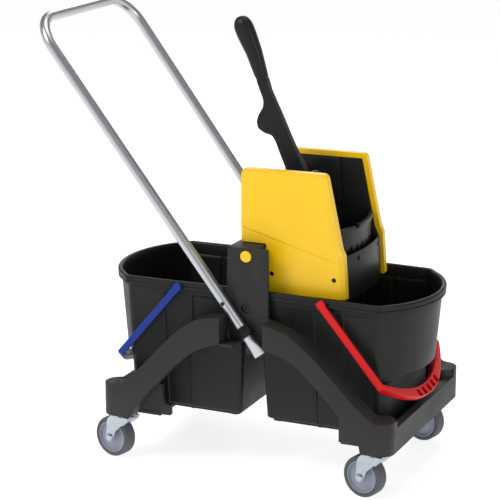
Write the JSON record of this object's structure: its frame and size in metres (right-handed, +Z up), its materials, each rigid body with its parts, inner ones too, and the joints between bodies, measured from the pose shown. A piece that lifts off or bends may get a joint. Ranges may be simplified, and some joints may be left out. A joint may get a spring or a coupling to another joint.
{
  "type": "mop trolley with wringer",
  "caption": "Wheeled mop trolley with paired D-shaped buckets, coloured bails, a tube push handle and a lever wringer with yellow side shells.",
  "frame": {"origin": "middle of the overall length and width, on the floor", "axes": "+X along the trolley towards the bucket under the wringer, -Y the near side, +Z up"},
  "size_m": [0.7599, 0.4, 0.8559],
  "materials": {
    "frame_plastic": "moulded, fine grain",
    "bucket_plastic": "moulded, fine grain",
    "black_plastic": "moulded, satin",
    "yellow_plastic": "moulded, satin gloss",
    "blue_plastic": "moulded, satin gloss",
    "red_plastic": "moulded, satin gloss",
    "wheel_plastic": "moulded",
    "tyre_rubber": "moulded tread",
    "tube_metal": "satin anodised",
    "zinc_steel": "zinc plated",
    "dark_steel": "black oxide"
  },
  "bodies": {
    "trolley": {"half_frame_right": "frame_plastic", "half_frame_left": "frame_plastic", "centre_bridge": "frame_plastic", "column_near": "frame_plastic", "column_far": "frame_plastic", "column_bolt_near": "dark_steel", "column_bolt_far": "dark_steel", "push_handle": "tube_metal", "tube_collar_near": "black_plastic", "tube_collar_far": "black_plastic", "bucket_right": "bucket_plastic", "caster_mount_left_near": "zinc_steel", "caster_mount_left_far": "zinc_steel", "caster_mount_right_near": "zinc_steel", "caster_mount_right_far": "zinc_steel"},
    "fork_left_near": {"caster_fork_left_near": "zinc_steel", "caster_axle_left_near": "zinc_steel"},
    "wheel_left_near": {"caster_tread_left_near": "tyre_rubber", "caster_wheel_left_near": "wheel_plastic"},
    "fork_left_far": {"caster_fork_left_far": "zinc_steel", "caster_axle_left_far": "zinc_steel"},
    "wheel_left_far": {"caster_tread_left_far": "tyre_rubber", "caster_wheel_left_far": "wheel_plastic"},
    "fork_right_near": {"caster_fork_right_near": "zinc_steel", "caster_axle_right_near": "zinc_steel"},
    "wheel_right_near": {"caster_tread_right_near": "tyre_rubber", "caster_wheel_right_near": "wheel_plastic"},
    "fork_right_far": {"caster_fork_right_far": "zinc_steel", "caster_axle_right_far": "zinc_steel"},
    "wheel_right_far": {"caster_tread_right_far": "tyre_rubber", "caster_wheel_right_far": "wheel_plastic"},
    "left_bucket": {"bucket_left": "bucket_plastic"},
    "blue_bail": {"bail_blue": "blue_plastic"},
    "red_bail": {"bail_red": "red_plastic"},
    "wringer": {"side_shell_near": "yellow_plastic", "side_shell_far": "yellow_plastic", "side_liner_near": "black_plastic", "side_liner_far": "black_plastic", "shell_screw_a_near": "dark_steel", "shell_screw_a_far": "dark_steel", "shell_screw_b_near": "dark_steel", "shell_screw_b_far": "dark_steel", "front_cover": "black_plastic", "press_sieve": "black_plastic", "basket_floor": "black_plastic", "rear_wall": "black_plastic"},
    "lever": {"lever_arm": "black_plastic", "lever_grip": "black_plastic", "lever_shaft": "zinc_steel", "lever_gear": "zinc_steel"},
    "press": {"press_plate": "black_plastic", "press_shaft": "zinc_steel", "press_gear": "zinc_steel"},
    "near_button": {"release_button_near": "yellow_plastic"},
    "far_button": {"release_button_far": "yellow_plastic"}
  },
  "joints": [
    {"name": "swivel_left_near", "type": "hinge", "parent": "trolley", "child": "fork_left_near", "pos_m": [-0.2, -0.164, 0.086], "axis": [0, 0, 1], "continuous": true},
    {"name": "roll_left_near", "type": "hinge", "parent": "fork_left_near", "child": "wheel_left_near", "pos_m": [-0.22631, -0.15793, 0.04], "axis": [0.225, 0.9744, 0], "continuous": true},
    {"name": "swivel_left_far", "type": "hinge", "parent": "trolley", "child": "fork_left_far", "pos_m": [-0.2, 0.164, 0.086], "axis": [0, 0, 1], "continuous": true},
    {"name": "roll_left_far", "type": "hinge", "parent": "fork_left_far", "child": "wheel_left_far", "pos_m": [-0.22631, 0.17007, 0.04], "axis": [0.225, 0.9744, 0], "continuous": true},
    {"name": "swivel_right_near", "type": "hinge", "parent": "trolley", "child": "fork_right_near", "pos_m": [0.32, -0.164, 0.086], "axis": [0, 0, 1], "continuous": true},
    {"name": "roll_right_near", "type": "hinge", "parent": "fork_right_near", "child": "wheel_right_near", "pos_m": [0.29369, -0.15793, 0.04], "axis": [0.225, 0.9744, 0], "continuous": true},
    {"name": "swivel_right_far", "type": "hinge", "parent": "trolley", "child": "fork_right_far", "pos_m": [0.32, 0.164, 0.086], "axis": [0, 0, 1], "continuous": true},
    {"name": "roll_right_far", "type": "hinge", "parent": "fork_right_far", "child": "wheel_right_far", "pos_m": [0.29369, 0.17007, 0.04], "axis": [0.225, 0.9744, 0], "continuous": true},
    {"name": "left_bucket_lift", "type": "slide", "parent": "trolley", "child": "left_bucket", "axis": [0, 0, 1], "range_m": [0, 0.03]},
    {"name": "blue_bail_swing", "type": "hinge", "parent": "left_bucket", "child": "blue_bail", "pos_m": [-0.0935, 0, 0.3525], "axis": [0, 1, 0], "range_deg": [0, 135]},
    {"name": "red_bail_swing", "type": "hinge", "parent": "trolley", "child": "red_bail", "pos_m": [0.1995, 0, 0.3525], "axis": [0, -1, 0], "range_deg": [0, 110]},
    {"name": "wringer_lift", "type": "slide", "parent": "trolley", "child": "wringer", "axis": [0, 0, 1], "range_m": [0, 0.15]},
    {"name": "lever_pull", "type": "hinge", "parent": "wringer", "child": "lever", "pos_m": [0.1, 0, 0.54], "axis": [0, 1, 0], "range_deg": [0, 70]},
    {"name": "press_swing", "type": "hinge", "parent": "wringer", "child": "press", "pos_m": [0.06394, 0, 0.50394], "axis": [0, 1, 0], "range_deg": [-35, 0]},
    {"name": "near_button_press", "type": "slide", "parent": "trolley", "child": "near_button", "axis": [0, 1, 0], "range_m": [0, 0.003], "stiffness_N_per_m": 400},
    {"name": "far_button_press", "type": "slide", "parent": "trolley", "child": "far_button", "axis": [0, -1, 0], "range_m": [0, 0.003], "stiffness_N_per_m": 400}
  ],
  "couplings": [
    {"joint": "press_swing", "follows": "lever_pull", "ratio": -0.5}
  ]
}
